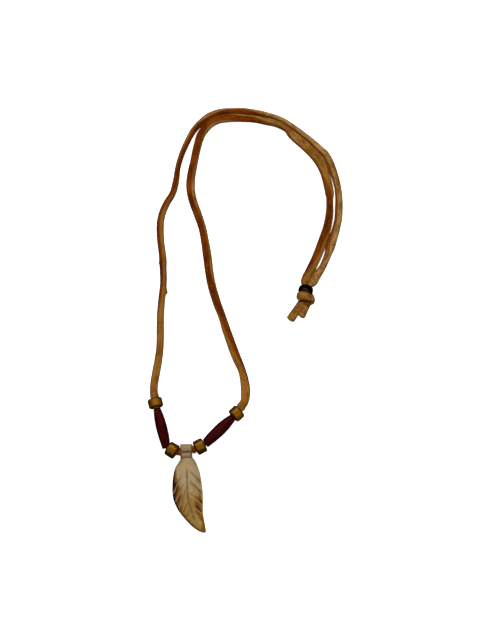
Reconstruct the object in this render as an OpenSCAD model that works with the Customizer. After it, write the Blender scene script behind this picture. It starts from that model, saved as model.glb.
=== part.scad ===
// Bone necklace: a knotted suede lace threaded through four barrel beads, two hairpipe beads
// and a carved feather pendant, with a ring bead over the doubled lace above the knot.
// It lies on a table. Millimetres, +Z up, origin on the table under the middle of the beadwork.

/* [Lace] */
// Size of the lace where it is squeezed through an outer barrel bead
lace_in_barrel = 2.6; // [2.2:0.1:2.8]
// Size of the lace where it is squeezed through the bail and the barrel beads beside it
lace_in_bail = 2.4; // [2:0.1:2.5]
// Size of the lace where it is drawn through a hairpipe bead
lace_in_pipe = 2.2; // [1.8:0.1:2.4]
// Width of each strand inside the ring bead
lace_in_ring = 3; // [2.6:0.1:3.1]

/* [Barrel beads] */
// Outside diameter of a barrel bead
barrel_d = 9; // [8.6:0.1:9.2]
// Length of a barrel bead along its hole
barrel_len = 5.7; // [5:0.1:5.8]
// Diameter of the hole through a barrel bead
barrel_bore = 4.2; // [3.8:0.1:4.6]
// Radius that rounds the rims of a barrel bead
barrel_round = 1.3; // [0.8:0.1:1.6]

/* [Hairpipe beads] */
// Length of a hairpipe bead
pipe_len = 24.4; // [23:0.1:24.6]
// Diameter at the middle of a hairpipe bead
pipe_mid_d = 6.6; // [6:0.1:7]
// Diameter at the cut ends of a hairpipe bead
pipe_end_d = 4.2; // [4:0.1:4.4]
// Diameter of the hole through a hairpipe bead
pipe_bore = 3; // [2.8:0.1:3.2]

/* [Feather pendant] */
// Width of the bail across the lace
bail_w = 7.8; // [7:0.1:8]
// Depth of the bail from front to back
bail_depth = 6.3; // [6:0.1:7]
// Diameter of the hole through the bail
bail_bore = 3.8; // [3.6:0.1:4.2]
// Thickness of the feather at its edge
edge_t = 1.1; // [0.8:0.1:1.6]
// Radius of the gouge that cuts the barbs
gouge_r = 0.9; // [0.7:0.1:1.2]
// Depth of the barb cuts
gouge_depth = 0.45; // [0.2:0.05:0.6]

/* [Ring bead and knot] */
// Outside diameter of the ring bead
ring_d = 9; // [8.6:0.1:9.4]
// Length of the ring bead along its hole
ring_len = 3.5; // [3:0.1:4]
// Diameter of the hole through the ring bead
ring_bore = 6.7; // [6.5:0.1:7]
// Angle by which the ring bead leans up towards the knot
ring_lean = 12; // [8:1:16]

/* [Hidden] */

// Where each bead sits on the lace and which way its hole points
// columns: x, y, turn from +X
OUTER_LEFT = [-25.6, 38.1, -76];
PIPE_LEFT = [-21.7, 22.8, -76];
INNER_LEFT = [-15.1, 8.5, -32];
BAIL = [-6, 9.3, 0];
INNER_RIGHT = [2.9, 10.8, 28];
PIPE_RIGHT = [14.8, 21.2, 44];
OUTER_RIGHT = [25.9, 31.8, 43];

// Heights of the holes above the table
barrel_z = barrel_d / 2;
pipe_z = barrel_z;
bail_z = bail_depth / 2;
// How far the bail's hole sits below the middle of the bail's round top
bail_drop = 0.7;

// Where the lace sags between the inner left bead and the bail
BY_BAIL = [-11.5, 6.7, 4];

// The ring bead's middle, and the way from the ring bead to the knot
RING = [69.5, 112.4, 4.9];
ring_turn = -103;

// The free stretches of the lace, from the ring bead round to the beads and back
// columns: x, y, width, height, lift above the table
STRAND_OUT = [
    [74.3, 117.5, 4.1, 3.8, 1.0],
    [79.8, 127.5, 5.0, 3.4, 0.3],
    [87.2, 144.0, 4.6, 3.6, 0],
    [91.3, 158.5, 4.4, 3.7, 0],
    [92.0, 175.0, 4.1, 3.9, 0],
    [89.0, 192.0, 4.3, 3.8, 0],
    [81.0, 207.5, 4.2, 3.8, 0],
    [67.5, 220.0, 3.7, 4.1, 0],
    [54.0, 229.5, 3.5, 4.3, 0],
    [39.0, 234.7, 3.5, 4.3, 0],
    [21.0, 235.6, 3.9, 4.0, 0],
    [7.0, 231.8, 3.7, 4.1, 0],
    [-3.5, 221.0, 3.5, 4.3, 0],
    [-11.0, 204.0, 3.3, 4.5, 0],
    [-14.2, 186.0, 3.6, 4.2, 0],
    [-20.5, 170.5, 4.0, 4.0, 0],
    [-24.4, 155.0, 4.3, 3.8, 0],
    [-22.5, 136.0, 4.1, 3.9, 0.1],
    [-21.8, 117.0, 3.7, 4.1, 0],
    [-23.4, 95.0, 4.2, 3.8, 0],
    [-23.4, 76.0, 4.3, 3.8, 0.1],
    [-25.7, 58.0, 4.6, 3.6, 0.2],
    [-26.8, 46.5, 4.4, 3.6, 1.2]
];
STRAND_BACK = [
    [30.6, 39.6, 4.6, 3.6, 1.8],
    [31.2, 48.5, 5.2, 3.4, 0.4],
    [28.8, 60.0, 4.7, 3.6, 0],
    [22.5, 75.5, 5.3, 3.4, 0],
    [16.0, 95.0, 4.6, 3.6, 0],
    [9.5, 115.0, 4.8, 3.5, 0.1],
    [6.5, 135.0, 5.0, 3.4, 0],
    [3.2, 154.0, 4.6, 3.6, 0],
    [-3.5, 173.5, 4.8, 3.5, 0],
    [-4.0, 191.0, 4.9, 3.5, 0],
    [-0.3, 210.5, 4.8, 3.5, 0],
    [7.3, 225.3, 4.7, 3.6, 0],
    [20.5, 230.7, 4.8, 3.5, 0],
    [37.5, 229.9, 4.9, 3.5, 0],
    [52.0, 225.7, 4.3, 3.8, 0],
    [64.0, 216.5, 5.2, 3.3, 0],
    [75.5, 204.5, 5.6, 3.1, 0],
    [83.3, 190.5, 5.0, 3.2, 0],
    [86.5, 173.5, 4.3, 3.8, 0],
    [83.7, 153.5, 4.7, 3.6, 0],
    [77.0, 135.0, 5.0, 3.4, 0.2],
    [69.7, 118.3, 4.0, 3.8, 1.0]
];

// The feather's outline below the bail's middle
// columns: distance down, left edge, right edge, rise of the domed front above the edge
FEATHER = [
    [4.2, -3.7, 3.8, 3.0],
    [6.4, -3.7, 5.2, 3.0],
    [8.5, -5.2, 6.4, 2.9],
    [10.7, -6.4, 7.3, 2.8],
    [13, -7.1, 8.1, 2.7],
    [16, -7.7, 8.8, 2.6],
    [20, -8.2, 9.5, 2.5],
    [25, -8.3, 10.2, 2.4],
    [29, -8.0, 10.4, 2.3],
    [32, -7.3, 10.5, 2.2],
    [35, -6.0, 10.5, 2.1],
    [38, -4.4, 10.5, 2.0],
    [41, -2.2, 10.7, 1.9],
    [44, 0.5, 11.2, 1.7],
    [46.5, 2.8, 11.8, 1.5],
    [49, 5.7, 12.2, 1.2],
    [50.6, 8.3, 12.4, 0.9],
    [51.5, 10.8, 12.1, 0.6]
];
// The quill line down the front
// columns: distance down, distance to the right of the bail's middle
QUILL = [[9.5, 0.1], [19, 0.6], [26, 1.2], [32, 2.1], [38, 3.8], [43.5, 5.9]];
// The barb cuts, from the quill out past the edge
// columns: down and across where a cut starts, down and across where it runs out
BARBS = [
    [15, 3, 20.9, 9.4],
    [21.2, 3.7, 27.4, 9.8],
    [28.6, 3.8, 34.8, 9.9],
    [36, 5.7, 40.4, 10.4],
    [17.5, -2.5, 27.6, -7.6],
    [24.3, -1.8, 32.4, -6.9],
    [28.8, -0.4, 36.2, -5.4],
    [33, 2, 38.6, -0.9],
    [36.9, 2.6, 41.8, 0.8]
];
// The lumps of the knot, each drawn round two or three balls: its front band, its side and its back
// columns: x, y, z, radius
LUMPS = [
    [[66.4, 107.4, 3.3, 2.5], [68.5, 107.9, 5.3, 3.0], [70.5, 107.0, 3.4, 2.6]],
    [[70.4, 106.2, 3.4, 2.2], [73.4, 107.1, 3.5, 1.9], [73.6, 104.6, 2.4, 1.6]],
    [[67.4, 104.8, 3.4, 2.1], [70.4, 104.4, 3.2, 2.0]]
];
// The two cut tails of the lace below the knot
// columns: x, y, width, height, lift above the table
TAIL_LEFT = [[67.3, 104.2, 4.4, 3.6, 1.8], [63.3, 98.6, 4.5, 3.4, 0.4], [60.2, 93.4, 4.4, 3.2, 0]];
TAIL_RIGHT = [[70.0, 103.8, 4.2, 3.4, 1.6], [69.2, 99.2, 4.2, 3.2, 0.2], [67.5, 95.4, 4.0, 3.0, 0]];

lace_sides = 12;         // sides of the lace's skin
section_power = 0.75;    // below 1 this fills an oval out towards a rounded strip
ring_step = 12;          // about how far apart the rings of the lace's skin are
past = 0.15;             // how far past each hole the lace starts to bend
strand_gap = 1.62;       // from the ring bead's middle to the middle of each strand in it
strand_tall = 4.2;       // height of each strand inside the ring bead
lead = 0.3;              // how far before the ring bead the strands are already straight
inset = 0.6;             // how far inside the ring bead's other end the lace meets the knot
clear = 0.15;            // gap left between the lace's ends and the knot
neck_len = 3;            // length of the knot's neck, which starts inside the ring bead
neck_clear = 0.35;       // gap left between that neck and the ring bead's hole
across_steps = 8;        // facets across the domed front of the feather
dome_power = 2.2;        // above 2 this keeps the feather's front flat towards its middle
round_step = 15;         // degrees between the corners of a rounded rim
ring_round = 1;          // radius that rounds the rims of the ring bead
collar_drop = 1;         // how much lower the bail's collar is than its round top
collar_side = 0.1;       // how much narrower the collar is on each side
groove_r = 0.6;          // radius of the grooves above and below the collar
groove_depth = 1;        // depth of those grooves
GROOVES = [2.1, 5.4];    // distance of those grooves below the bail's middle
quill_r = 0.6;           // radius of the gouge that cuts the quill's line
quill_depth = 0.22;      // depth of the quill's line
quill_turn_r = 0.65;     // radius of the ball cut where the quill turns
barb_start = 0.1;        // depth at which a barb cut begins

// Sections and lofts

function fuller(v) = sign(v) * pow(abs(v), section_power);

// A rounded strip's outline, as points across and up
function strip(width, height) = [
    for (i = [0 : lace_sides - 1])
        [width / 2 * fuller(cos(360 * i / lace_sides)), height / 2 * fuller(sin(360 * i / lace_sides))]
];

function unit(v) = v / norm(v);

// The strip set at a point, square to the way that the lace runs there
function ring_at(point, way, width, height) =
    let (side = unit(cross(way, [0, 0, 1])), up = cross(side, unit(way)))
    [for (q = strip(width, height)) point + q[0] * side + q[1] * up];

// One closed solid through rings that all have the same number of points
module loft(rings) {
    n = len(rings[0]);
    last = len(rings) - 1;
    walls = [
        for (k = [0 : last - 1], i = [0 : n - 1])
            let (a = k * n + i, b = k * n + (i + 1) % n)
            each [[a, b, a + n], [b, b + n, a + n]]
    ];
    start = [[for (i = [n - 1 : -1 : 0]) i]];
    end = [[for (i = [0 : n - 1]) last * n + i]];
    polyhedron(points = [for (ring = rings) each ring], faces = concat(walls, start, end));
}

// The lace's route: rows of x, y, z, width, height, and 1 where the stretch to the next row is straight

function lying(rows) = [for (r = rows) [r[0], r[1], r[3] / 2 + r[4], r[2], r[3], 0]];

// Two rows that take the lace straight through a hole
function through(place, height, length, size) =
    let (half = length / 2 + past, way = [cos(place[2]), sin(place[2])])
    [
        [place[0] - half * way[0], place[1] - half * way[1], height, size, size, 1],
        [place[0] + half * way[0], place[1] + half * way[1], height, size, size, 1]
    ];

// A point in the ring bead's hole: out towards the knot and across to the right
ring_out = [cos(ring_lean) * cos(ring_turn), cos(ring_lean) * sin(ring_turn), sin(ring_lean)];
ring_across = [-sin(ring_turn), cos(ring_turn), 0];
function near_ring(out, across) = RING + out * ring_out + across * ring_across;

lace_start = -ring_len / 2 - lead;
lace_end = ring_len / 2 - inset;
function in_ring(out, across) = [each near_ring(out, across), lace_in_ring, strand_tall, 1];

LACE = concat(
    [in_ring(lace_end, strand_gap), in_ring(lace_start, strand_gap)],
    lying(STRAND_OUT),
    through(OUTER_LEFT, barrel_z, barrel_len, lace_in_barrel),
    through(PIPE_LEFT, pipe_z, pipe_len, lace_in_pipe),
    through(INNER_LEFT, barrel_z, barrel_len, lace_in_bail),
    [[each BY_BAIL, lace_in_bail, lace_in_bail, 0]],
    through(BAIL - [0, bail_drop, 0], bail_z, bail_w, lace_in_bail),
    through(INNER_RIGHT, barrel_z, barrel_len, lace_in_bail),
    through(PIPE_RIGHT, pipe_z, pipe_len, lace_in_pipe),
    through(OUTER_RIGHT, barrel_z, barrel_len, lace_in_barrel),
    lying(STRAND_BACK),
    [in_ring(lace_start, -strand_gap), in_ring(lace_end, -strand_gap)]
);

function spot(rows, i) = [rows[i][0], rows[i][1], rows[i][2]];
function gap(rows, i) = norm(spot(rows, i + 1) - spot(rows, i));

// The way that a route runs at one of its rows
function way(rows, i) =
    i == 0 ? (spot(rows, 1) - spot(rows, 0)) / gap(rows, 0)
    : i == len(rows) - 1 ? (spot(rows, i) - spot(rows, i - 1)) / gap(rows, i - 1)
    : (spot(rows, i + 1) - spot(rows, i - 1)) / (gap(rows, i) + gap(rows, i - 1));

// A smooth curve from row i to the next, at share u of the stretch
function curve(rows, i, u) =
    (1 + 2 * u) * pow(1 - u, 2) * spot(rows, i)
    + u * pow(1 - u, 2) * gap(rows, i) * way(rows, i)
    + u * u * (3 - 2 * u) * spot(rows, i + 1)
    - u * u * (1 - u) * gap(rows, i) * way(rows, i + 1);

function parts(rows, i) = rows[i][5] == 1 ? 1 : max(1, round(gap(rows, i) / ring_step));

// Centres of the skin's rings, each with its width and height
function stations(rows) = [
    for (i = [0 : len(rows) - 2])
        for (k = [0 : parts(rows, i) - 1])
            let (u = k / parts(rows, i), a = rows[i], b = rows[i + 1])
            [each curve(rows, i, u), a[3] + u * (b[3] - a[3]), a[4] + u * (b[4] - a[4]), 0],
    rows[len(rows) - 1]
];

module tube(rows) {
    path = stations(rows);
    loft([for (i = [0 : len(path) - 1]) ring_at(spot(path, i), way(path, i), path[i][3], path[i][4])]);
}

// Beads

// Half of a round bead's outline, with rounded rims and a straight hole
function bead_outline(radius, bore, length, rim) = [
    [bore, -length / 2],
    for (a = [-90 : round_step : 0]) [radius - rim + rim * cos(a), -length / 2 + rim + rim * sin(a)],
    for (a = [0 : round_step : 90]) [radius - rim + rim * cos(a), length / 2 - rim + rim * sin(a)],
    [bore, length / 2]
];

module threaded(place, height) {
    translate([place[0], place[1], height])
        rotate([0, 90, place[2]])
            children();
}

module barrel_bead(place) {
    threaded(place, barrel_z)
        rotate_extrude($fn = 64)
            polygon(bead_outline(barrel_d / 2, barrel_bore / 2, barrel_len, barrel_round));
}

// The side of a hairpipe bead is an arc through its two ends and its middle
module hairpipe(place) {
    bulge = (pipe_mid_d - pipe_end_d) / 2;
    arc_r = (pow(pipe_len / 2, 2) + bulge * bulge) / (2 * bulge);
    threaded(place, pipe_z)
        rotate_extrude($fn = 64)
            intersection() {
                translate([pipe_mid_d / 2 - arc_r, 0])
                    circle(r = arc_r, $fn = 720);
                translate([pipe_bore / 2, -pipe_len / 2])
                    square([pipe_mid_d, pipe_len]);
            }
}

module ring_bead() {
    color("black")
        translate(RING)
            rotate([0, 90 - ring_lean, ring_turn])
                rotate_extrude($fn = 64)
                    polygon(bead_outline(ring_d / 2, ring_bore / 2, ring_len, ring_round));
}

module ball(at, radius) {
    translate(at)
        sphere(r = radius, $fn = 32);
}

// Feather pendant

function edge_left(down) = lookup(down, [for (r = FEATHER) [r[0], r[1]]]);
function edge_right(down) = lookup(down, [for (r = FEATHER) [r[0], r[2]]]);
function rise(down) = lookup(down, [for (r = FEATHER) [r[0], r[3]]]);
function front(down, across) =
    let (middle = (edge_left(down) + edge_right(down)) / 2, half = (edge_right(down) - edge_left(down)) / 2)
    edge_t + rise(down) * (1 - pow(min(1, abs(across - middle) / half), dome_power));

function feather_ring(r) = [
    [r[1], -r[0], 0],
    for (k = [0 : across_steps])
        let (across = r[1] + (r[2] - r[1]) * k / across_steps)
        [across, -r[0], front(r[0], across)],
    [r[2], -r[0], 0]
];

// The middle of a round gouge that cuts to a given depth at a point of the front
function gouge_at(down, across, radius, depth) = [across, -down, front(down, across) + radius - depth];

// A round gouge drawn from one such middle to another
module gouge(from, to, radius) {
    run = to - from;
    translate(from)
        rotate([0, acos(run[2] / norm(run)), atan2(run[1], run[0])])
            cylinder(h = norm(run), r = radius, $fn = 32);
}

// The line of the quill, with a slightly wider ball where it turns
module quill() {
    path = [for (q = QUILL) gouge_at(q[0], q[1], quill_r, quill_depth)];
    for (i = [0 : len(path) - 2])
        gouge(path[i], path[i + 1], quill_r);
    for (at = path)
        ball(at, quill_turn_r);
}

module barb(b) {
    gouge(gouge_at(b[0], b[1], gouge_r, barb_start), gouge_at(b[2], b[3], gouge_r, gouge_depth), gouge_r);
}

// A groove across the bail, cut down from a given height
module groove(down, top) {
    translate([-bail_w, -down, top - groove_depth + groove_r])
        rotate([0, 90, 0])
            cylinder(h = 2 * bail_w, r = groove_r, $fn = 32);
}

module bail() {
    translate([-bail_w / 2, 0, bail_z])
        rotate([0, 90, 0])
            cylinder(h = bail_w, r = bail_depth / 2, $fn = 96);
    translate([-bail_w / 2, -GROOVES[0], 0])
        cube([bail_w, GROOVES[0], bail_depth]);
    translate([-bail_w / 2 + collar_side, -GROOVES[1], 0])
        cube([bail_w - 2 * collar_side, GROOVES[1] - GROOVES[0] / 2, bail_depth - collar_drop]);
}

module feather_pendant() {
    color("wheat")
        translate([BAIL[0], BAIL[1], 0])
            difference() {
                union() {
                    bail();
                    loft([for (r = FEATHER) feather_ring(r)]);
                }
                translate([-bail_w, -bail_drop, bail_z])
                    rotate([0, 90, 0])
                        cylinder(h = 2 * bail_w, r = bail_bore / 2, $fn = 64);
                groove(GROOVES[0], bail_depth);
                groove(GROOVES[1], bail_depth - collar_drop);
                quill();
                for (b = BARBS)
                    barb(b);
            }
}

// Lace and knot

module lace() {
    color("peru")
        tube(LACE);
}

module knot() {
    color("sandybrown")
        union() {
            translate(near_ring(lace_end + clear, 0))
                rotate([0, 90 - ring_lean, ring_turn])
                    cylinder(h = neck_len, r = ring_bore / 2 - neck_clear, $fn = 48);
            for (lump = LUMPS)
                hull()
                    for (b = lump)
                        ball([b[0], b[1], b[2]], b[3]);
            tube(lying(TAIL_LEFT));
            tube(lying(TAIL_RIGHT));
        }
}

module barrel_bead_outer_left() {
    color("darkgoldenrod")
        barrel_bead(OUTER_LEFT);
}

module barrel_bead_inner_left() {
    color("darkgoldenrod")
        barrel_bead(INNER_LEFT);
}

module barrel_bead_inner_right() {
    color("darkgoldenrod")
        barrel_bead(INNER_RIGHT);
}

module barrel_bead_outer_right() {
    color("darkgoldenrod")
        barrel_bead(OUTER_RIGHT);
}

module hairpipe_left() {
    color("maroon")
        hairpipe(PIPE_LEFT);
}

module hairpipe_right() {
    color("maroon")
        hairpipe(PIPE_RIGHT);
}

lace();
barrel_bead_outer_left();
barrel_bead_inner_left();
barrel_bead_inner_right();
barrel_bead_outer_right();
hairpipe_left();
hairpipe_right();
feather_pendant();
ring_bead();
knot();
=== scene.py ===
"""Bone necklace: a doubled suede lace with barrel beads, hairpipe beads, a carved feather and a ring bead.

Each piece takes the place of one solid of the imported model, in the same frame. Lengths here are in
millimetres and turn into metres as each mesh is made.
"""

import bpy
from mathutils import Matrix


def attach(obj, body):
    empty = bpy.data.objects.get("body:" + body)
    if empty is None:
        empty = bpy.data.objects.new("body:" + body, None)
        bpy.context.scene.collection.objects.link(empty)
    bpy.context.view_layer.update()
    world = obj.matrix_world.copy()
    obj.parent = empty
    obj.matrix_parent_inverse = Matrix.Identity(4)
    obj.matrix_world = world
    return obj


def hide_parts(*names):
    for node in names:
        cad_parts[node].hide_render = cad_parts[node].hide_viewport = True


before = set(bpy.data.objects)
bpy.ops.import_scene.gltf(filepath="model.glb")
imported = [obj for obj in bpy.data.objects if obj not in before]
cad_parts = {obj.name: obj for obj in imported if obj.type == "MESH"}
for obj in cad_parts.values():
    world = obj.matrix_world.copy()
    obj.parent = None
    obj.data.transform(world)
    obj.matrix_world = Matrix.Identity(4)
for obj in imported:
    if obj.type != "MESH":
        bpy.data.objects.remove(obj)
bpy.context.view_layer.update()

import logging
import math
from dataclasses import dataclass, field
from enum import Enum
from typing import ClassVar, Protocol

import bmesh
import bpy
import numpy as np
from mathutils import Vector, noise

log = logging.getLogger("necklace")

MM = 0.001
TABLE_GAP = 0.02  # how far the suede stays above the table
NO_CREASE = 180.0  # crease angle of a piece that is soft all over

Colour = tuple[float, float, float]
Array = np.ndarray
Numbers = Array | float
Mesh = bpy.types.Mesh
Material = bpy.types.Material
Piece = bpy.types.Object


class Slot(Enum):
    """The material slots."""

    SUEDE = "suede_lace"
    BRASS = "antique_brass"
    DYED_BONE = "dyed_bone"
    CARVED_BONE = "carved_bone"
    BLACK = "black_ring"


class Drawn(Enum):
    """Ways to draw a texture out: its scale across, up and along the piece."""

    NAP = (1.0, 1.0, 0.5)
    STREAK = (1.0, 1.0, 0.12)
    PORES = (1.0, 1.0, 0.3)
    LATHE = (0.25, 0.25, 6.0)
    FIBRE = (1.0, 0.14, 1.0)
    FLOW = (1.0, 0.10, 1.0)
    BONE_PORES = (1.0, 0.3, 1.0)


# Numbers and curves


def smooth(low: float, high: float, value: Numbers) -> Numbers:
    """Eased step from 0 at low to 1 at high, which may be below low."""
    share = np.clip((value - low) / (high - low), 0.0, 1.0)
    return share * share * (3.0 - 2.0 * share)


def column(rows: tuple, at: Numbers, index: int) -> Numbers:
    """One column of a short table, read between its rows and held beyond them."""
    table = np.array(rows, dtype=float)
    return np.interp(at, table[:, 0], table[:, index])


def hill(away: Numbers, reach: float) -> Numbers:
    """Bell curve from 1 at its middle to about a third at its reach."""
    return np.exp(-((away / reach) ** 2))


def around(count: int) -> Array:
    """Even angles round a full turn."""
    return np.arange(count) / count * 2 * math.pi


def unit(rows: Array) -> Array:
    """Rows of vectors, each brought to length 1."""
    return rows / np.linalg.norm(rows, axis=1)[:, None]


def run_along(centre: Array) -> Array:
    """How far along a line each of its points is."""
    return np.concatenate([[0], np.cumsum(np.linalg.norm(np.diff(centre, axis=0), axis=1))])


def ripple(points: Array, scale: float, seed: float) -> Array:
    """Seeded noise from -1 to 1.

    Args:
        points: Array of points, of any shape.
        scale: How many bumps there are in a unit of length.
        seed: Offset that picks another pattern.

    Returns:
        One number a point.
    """
    shift = Vector((seed, 2.3 * seed, -1.7 * seed))
    values = [noise.noise(Vector(p) * scale + shift) for p in points.reshape(-1, 3).tolist()]
    return np.array(values).reshape(points.shape[:-1])


def stroke(x: Array, y: Array, ends: list) -> tuple[Array, Array]:
    """Measures points against a straight stroke.

    Args:
        x: First number of each point.
        y: Second number of each point.
        ends: Both numbers of one end, then of the other.

    Returns:
        Distance of each point from the stroke, and how far along it the nearest place is, from 0 to 1.
    """
    x0, y0, x1, y1 = ends
    dx, dy = x1 - x0, y1 - y0
    held = np.clip(((x - x0) * dx + (y - y0) * dy) / (dx**2 + dy**2), 0.0, 1.0)
    return np.hypot(x - x0 - held * dx, y - y0 - held * dy), held


@dataclass
class Route:
    """A smooth route through rows of numbers.

    Attributes:
        rows: Rows of x, y, z and whatever else changes along the route.
        straight: Rows from which the route runs straight to the next one.
        step: About how far apart the samples are.
    """

    rows: Array
    straight: set[int] = field(default_factory=set)
    step: float = 0.7

    def gap(self, index: int) -> float:
        """Distance from a row to the next."""
        return float(np.linalg.norm(self.rows[index + 1, :3] - self.rows[index, :3]))

    def way(self, index: int) -> Array:
        """Rate of change at a row.

        Args:
            index: The row.

        Returns:
            Change of every column for each millimetre of route.
        """
        first, last = max(0, index - 1), min(len(self.rows) - 1, index + 1)
        first = index if index in self.straight else first
        last = index if index - 1 in self.straight else last
        return (self.rows[last] - self.rows[first]) / sum(self.gap(k) for k in range(first, last))

    def samples(self) -> Array:
        """Every column along the whole route.

        Returns:
            Array with one sample a row.
        """
        out: list[Array] = []
        for k in range(len(self.rows) - 1):
            gap, a, b = self.gap(k), self.rows[k], self.rows[k + 1]
            count = max(1, round(gap / self.step))
            u = (np.arange(count) / count)[:, None]
            if k in self.straight:
                out.append(a + u * (b - a))
                continue
            wa, wb = self.way(k) * gap, self.way(k + 1) * gap
            start = (1 + 2 * u) * (1 - u) ** 2 * a + u * (1 - u) ** 2 * wa
            out.append(start + u * u * (3 - 2 * u) * b - u * u * (1 - u) * wb)
        return np.vstack([*out, self.rows[-1][None, :]])


# Meshes


def put(name: str, data: bpy.types.ID) -> Piece:
    """Puts a mesh, light or camera into the scene.

    Args:
        name: The object's name.
        data: What it is made of.

    Returns:
        The object.
    """
    obj = bpy.data.objects.new(name, data)
    bpy.context.scene.collection.objects.link(obj)
    return obj


def keep_mark(mesh: Mesh, key: str, values: Array) -> None:
    """Keeps a row of one number or three on each point of a mesh, for the finishes to read."""
    kind, store = ("FLOAT_VECTOR", "vector") if values.shape[1] == 3 else ("FLOAT", "value")
    mesh.attributes.new(key, kind, "POINT").data.foreach_set(store, values.ravel())


def seal(mesh: Mesh, crease: float) -> None:
    """Turns every face of a closed mesh outwards and shades it smooth.

    Args:
        mesh: The mesh.
        crease: Angle in degrees above which an edge stays sharp.
    """
    work = bmesh.new()
    work.from_mesh(mesh)
    bmesh.ops.recalc_face_normals(work, faces=work.faces)
    work.to_mesh(mesh)
    work.free()
    mesh.polygons.foreach_set("use_smooth", [True] * len(mesh.polygons))
    mesh.set_sharp_from_angle(angle=math.radians(crease))
    mesh.update()


def read_points(mesh: Mesh, key: str = "co") -> Array:
    """Reads three numbers of each point of a mesh.

    Args:
        mesh: The mesh.
        key: co for the places, in metres, or normal.

    Returns:
        One row a point.
    """
    flat = np.empty(len(mesh.vertices) * 3)
    mesh.vertices.foreach_get(key, flat)
    return flat.reshape(-1, 3)


def apply_modifiers(obj: Piece) -> None:
    """Puts an object's modifiers into its mesh and takes them off.

    Args:
        obj: The object.
    """
    graph = bpy.context.evaluated_depsgraph_get()
    shaped = obj.evaluated_get(graph)
    made = bpy.data.meshes.new_from_object(shaped, preserve_all_data_layers=True, depsgraph=graph)
    old = obj.data
    obj.modifiers.clear()
    obj.data = made
    made.name = obj.name
    bpy.data.meshes.remove(old)


class Skin:
    """A mesh in the making: points in millimetres, faces, and numbers kept on the points."""

    def __init__(self, name: str) -> None:
        """Starts an empty skin.

        Args:
            name: Name of the piece.
        """
        self.name = name
        self.points: list[Array] = []
        self.faces: list[list[int]] = []
        self.marks: dict[str, list[Array]] = {}
        self.count = 0

    def rings(self, rings: Array, joined: bool = False, **marks: Array) -> None:
        """Adds a closed skin through rings of points.

        Args:
            rings: Array of rings, points and coordinates.
            joined: True where the last ring meets the first, False where both ends are capped.
            marks: Arrays of a number or a vector for each ring and point.
        """
        total, sides = rings.shape[:2]
        grid = self.count + np.arange(total * sides).reshape(total, sides)
        here = grid if joined else grid[:-1]
        there = np.roll(grid, -1, axis=0)[: len(here)]
        quads = np.stack([here, np.roll(here, -1, axis=1), np.roll(there, -1, axis=1), there], axis=2)
        self.faces += quads.reshape(-1, 4).tolist()
        if not joined:
            self.faces += [grid[0, ::-1].tolist(), grid[-1].tolist()]
        self.points.append(rings.reshape(-1, 3))
        self.count += total * sides
        for key, values in marks.items():
            self.marks.setdefault(key, []).append(values.reshape(total * sides, -1))

    def piece(self, material: Material, crease: float) -> Piece:
        """Turns the skin into a piece of the scene.

        Args:
            material: The piece's finish.
            crease: Angle in degrees above which an edge stays sharp.

        Returns:
            The piece, whose place is in its mesh.
        """
        mesh = bpy.data.meshes.new(self.name)
        mesh.from_pydata((np.vstack(self.points) * MM).tolist(), [], self.faces)
        for key, parts in self.marks.items():
            keep_mark(mesh, key, np.vstack(parts))
        obj = put(self.name, mesh)
        mesh.materials.append(material)
        seal(mesh, crease)
        return obj


# Shader maths


class Signal:
    """One output socket of a material, with arithmetic."""

    def __init__(self, board: "Board", socket: bpy.types.NodeSocket | None) -> None:
        """Wraps a socket of a board's node."""
        self.board, self.socket = board, socket

    def __add__(self, other: "Signal | float") -> "Signal":
        """Sum."""
        return self.board.maths("ADD", self, other)

    def __radd__(self, other: float) -> "Signal":
        """Sum with the number first."""
        return self.board.maths("ADD", other, self)

    def __sub__(self, other: "Signal | float") -> "Signal":
        """Difference."""
        return self.board.maths("SUBTRACT", self, other)

    def __rsub__(self, other: float) -> "Signal":
        """Difference with the number first."""
        return self.board.maths("SUBTRACT", other, self)

    def __mul__(self, other: "Signal | float") -> "Signal":
        """Product."""
        return self.board.maths("MULTIPLY", self, other)

    def __rmul__(self, other: float) -> "Signal":
        """Product with the number first."""
        return self.board.maths("MULTIPLY", other, self)


Feed = Signal | float | tuple


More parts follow.
